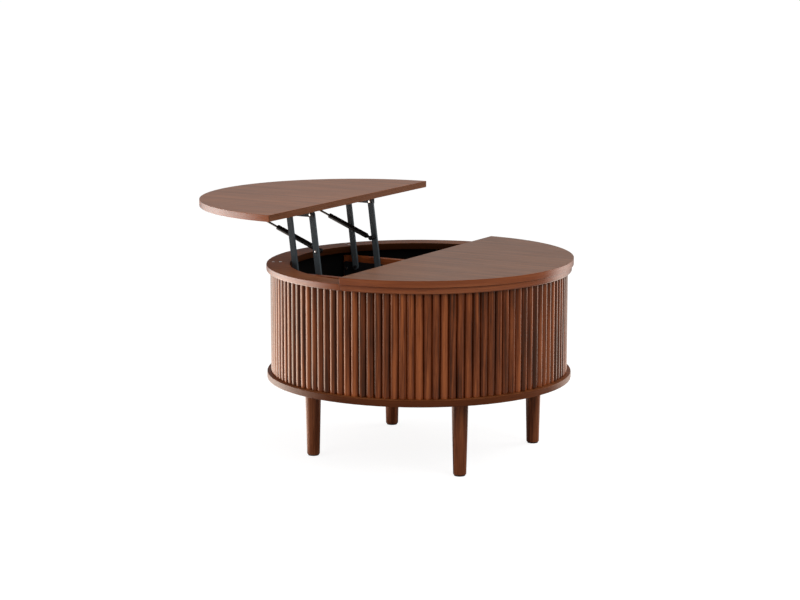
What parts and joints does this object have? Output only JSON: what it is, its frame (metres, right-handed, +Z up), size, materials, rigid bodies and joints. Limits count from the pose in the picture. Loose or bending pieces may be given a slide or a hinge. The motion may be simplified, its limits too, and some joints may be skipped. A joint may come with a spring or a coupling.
{
  "type": "round lift top coffee table",
  "caption": "Round coffee table with a fluted drum on tapered legs; one half of the top lifts forward on parallel arms with gas struts over hidden storage.",
  "frame": {"origin": "on the floor, in the middle of the box round the table with its top raised", "axes": "+Z up; -Y is the front, towards which the half top lifts; X runs along the split between the two half tops"},
  "size_m": [0.7, 0.8762, 0.5691],
  "materials": {
    "walnut": "satin walnut veneer on board",
    "fluted_walnut": "satin walnut, half-round flutes",
    "leg_walnut": "satin dark walnut",
    "lining": "matt black lined bent plywood",
    "black_steel": "satin black powder coat",
    "zinc": "bright zinc plated",
    "nylon": "matt brown nylon",
    "clear_pad": "clear soft pad"
  },
  "bodies": {
    "carcass": {"base_disc": "walnut", "drum_shell": "lining", "fixed_top": "walnut", "rim_front": "walnut", "rim_rear": "walnut", "fluted_panel_front_left": "fluted_walnut", "front_left_leg": "leg_walnut", "front_left_leg_plate": "black_steel", "front_left_leg_bolt": "zinc", "front_left_foot_glide": "nylon", "fluted_panel_front_right": "fluted_walnut", "front_right_leg": "leg_walnut", "front_right_leg_plate": "black_steel", "front_right_leg_bolt": "zinc", "front_right_foot_glide": "nylon", "fluted_panel_rear_left": "fluted_walnut", "rear_left_leg": "leg_walnut", "rear_left_leg_plate": "black_steel", "rear_left_leg_bolt": "zinc", "rear_left_foot_glide": "nylon", "fluted_panel_rear_right": "fluted_walnut", "rear_right_leg": "leg_walnut", "rear_right_leg_plate": "black_steel", "rear_right_leg_bolt": "zinc", "rear_right_foot_glide": "nylon", "right_inner_stop_pad": "clear_pad", "right_outer_stop_pad": "clear_pad", "right_mounting_panel": "walnut", "right_base_plate": "black_steel", "right_front_base_pin": "zinc", "right_rear_base_pin": "zinc", "left_inner_stop_pad": "clear_pad", "left_outer_stop_pad": "clear_pad", "left_mounting_panel": "walnut", "left_base_plate": "black_steel", "left_front_base_pin": "zinc", "left_rear_base_pin": "zinc"},
    "lift_top": {"right_front_top_pin": "zinc", "right_rear_top_pin": "zinc", "right_top_bracket": "black_steel", "left_front_top_pin": "zinc", "left_rear_top_pin": "zinc", "left_top_bracket": "black_steel", "lift_top": "walnut"},
    "right_front_arm": {"right_front_arm": "black_steel"},
    "right_rear_arm": {"right_rear_arm": "black_steel", "right_strut_pin": "zinc"},
    "right_strut_cylinder": {"right_strut_cylinder": "black_steel"},
    "right_strut_rod": {"right_strut_rod": "black_steel"},
    "left_front_arm": {"left_front_arm": "black_steel"},
    "left_rear_arm": {"left_rear_arm": "black_steel", "left_strut_pin": "zinc"},
    "left_strut_cylinder": {"left_strut_cylinder": "black_steel"},
    "left_strut_rod": {"left_strut_rod": "black_steel"}
  },
  "joints": [
    {"name": "lift", "type": "hinge", "parent": "carcass", "child": "right_rear_arm", "pos_m": [0.1296, -0.09591, 0.38383], "axis": [1, 0, 0], "range_deg": [-83.7, 0]},
    {"name": "left_rear_arm_pivot", "type": "hinge", "parent": "carcass", "child": "left_rear_arm", "pos_m": [-0.1296, -0.09591, 0.38383], "axis": [1, 0, 0], "range_deg": [-84.2, 0.5]},
    {"name": "right_front_arm_pivot", "type": "hinge", "parent": "carcass", "child": "right_front_arm", "pos_m": [0.1296, -0.15691, 0.38383], "axis": [1, 0, 0], "range_deg": [-84.2, 0.5]},
    {"name": "left_front_arm_pivot", "type": "hinge", "parent": "carcass", "child": "left_front_arm", "pos_m": [-0.1296, -0.15691, 0.38383], "axis": [1, 0, 0], "range_deg": [-84.2, 0.5]},
    {"name": "top_level", "type": "hinge", "parent": "right_rear_arm", "child": "lift_top", "pos_m": [0, -0.11602, 0.54307], "axis": [1, 0, 0], "range_deg": [-0.5, 84.2]},
    {"name": "right_strut_swing", "type": "hinge", "parent": "right_rear_arm", "child": "right_strut_cylinder", "pos_m": [0.1126, -0.10536, 0.45864], "axis": [1, 0, 0], "range_deg": [-0.5, 95.19]},
    {"name": "right_strut_stroke", "type": "slide", "parent": "right_strut_cylinder", "child": "right_strut_rod", "axis": [0, -0.928, 0.3727], "range_m": [-0.10933, 0.001]},
    {"name": "left_strut_swing", "type": "hinge", "parent": "left_rear_arm", "child": "left_strut_cylinder", "pos_m": [-0.1126, -0.10536, 0.45864], "axis": [1, 0, 0], "range_deg": [-0.5, 95.19]},
    {"name": "left_strut_stroke", "type": "slide", "parent": "left_strut_cylinder", "child": "left_strut_rod", "axis": [0, -0.928, 0.3727], "range_m": [-0.10933, 0.001]}
  ],
  "couplings": [
    {"joint": "left_rear_arm_pivot", "follows": "lift", "ratio": 1},
    {"joint": "right_front_arm_pivot", "follows": "lift", "ratio": 1},
    {"joint": "left_front_arm_pivot", "follows": "lift", "ratio": 1},
    {"joint": "top_level", "follows": "lift", "ratio": -1},
    {"joint": "right_strut_swing", "follows": "lift", "ratio": -1.1313},
    {"joint": "right_strut_stroke", "follows": "lift", "m_per_rad": 0.074154},
    {"joint": "left_strut_swing", "follows": "lift", "ratio": -1.1313},
    {"joint": "left_strut_stroke", "follows": "lift", "m_per_rad": 0.074154}
  ]
}
